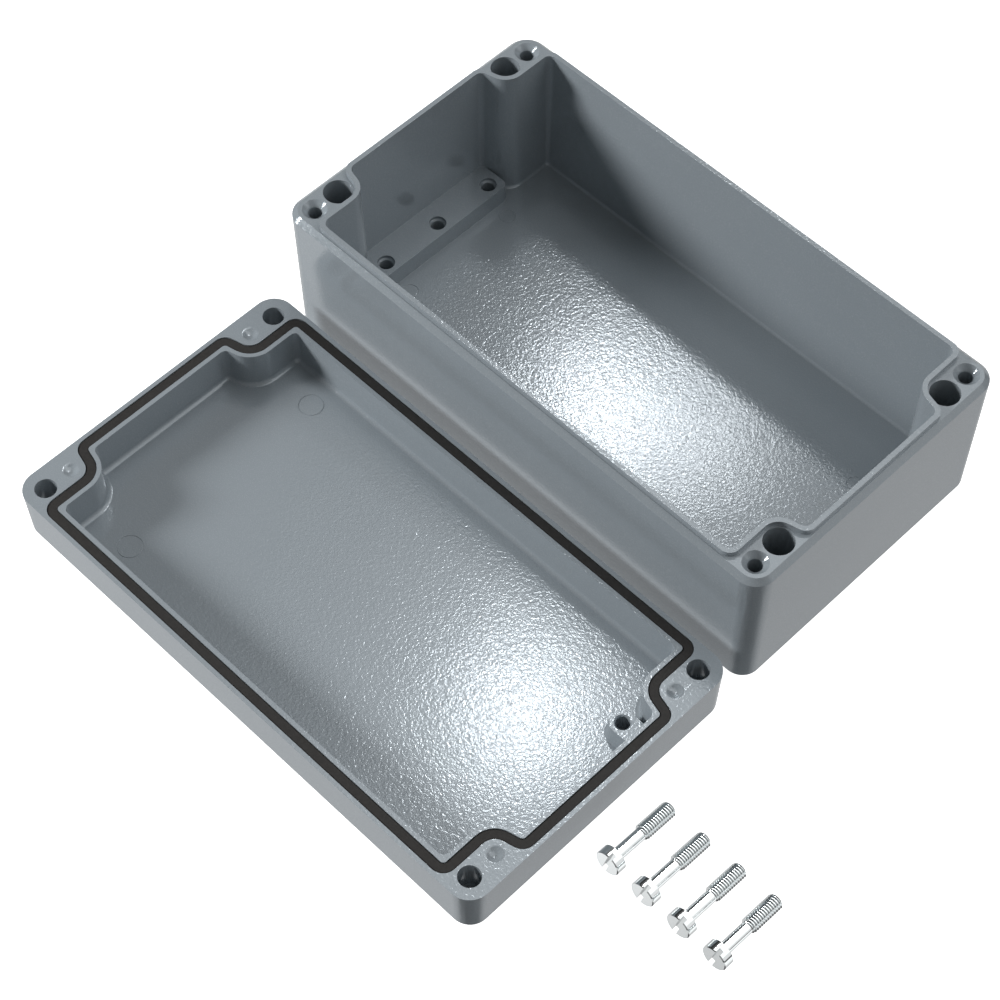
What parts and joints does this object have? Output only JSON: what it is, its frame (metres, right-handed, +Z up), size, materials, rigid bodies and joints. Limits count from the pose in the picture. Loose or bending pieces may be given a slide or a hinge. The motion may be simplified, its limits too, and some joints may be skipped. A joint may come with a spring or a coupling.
{
  "type": "die cast aluminium enclosure",
  "caption": "Coated rectangular die cast enclosure shown open: deep base, lid beside it with its seal in the groove, and loose slotted lid screws.",
  "frame": {"origin": "centre of the base's flat underside, on the surface that the base, the lid and the screws lie on", "axes": "+X along the box's 220 mm length, +Y across its 120 mm width, away from the lid that lies beside it, +Z up out of the open base"},
  "size_m": [0.2844, 0.247, 0.0618],
  "materials": {
    "coated_casting": "glossy blue-grey powder coating with an orange-peel texture",
    "gasket_rubber": "matt black",
    "plated_steel": "bright plated"
  },
  "bodies": {
    "root": {"box_base": "coated_casting", "lid": "coated_casting", "lid_gasket": "gasket_rubber", "lid_screw_1": "plated_steel", "lid_screw_2": "plated_steel", "lid_screw_3": "plated_steel", "lid_screw_4": "plated_steel"}
  },
  "joints": []
}
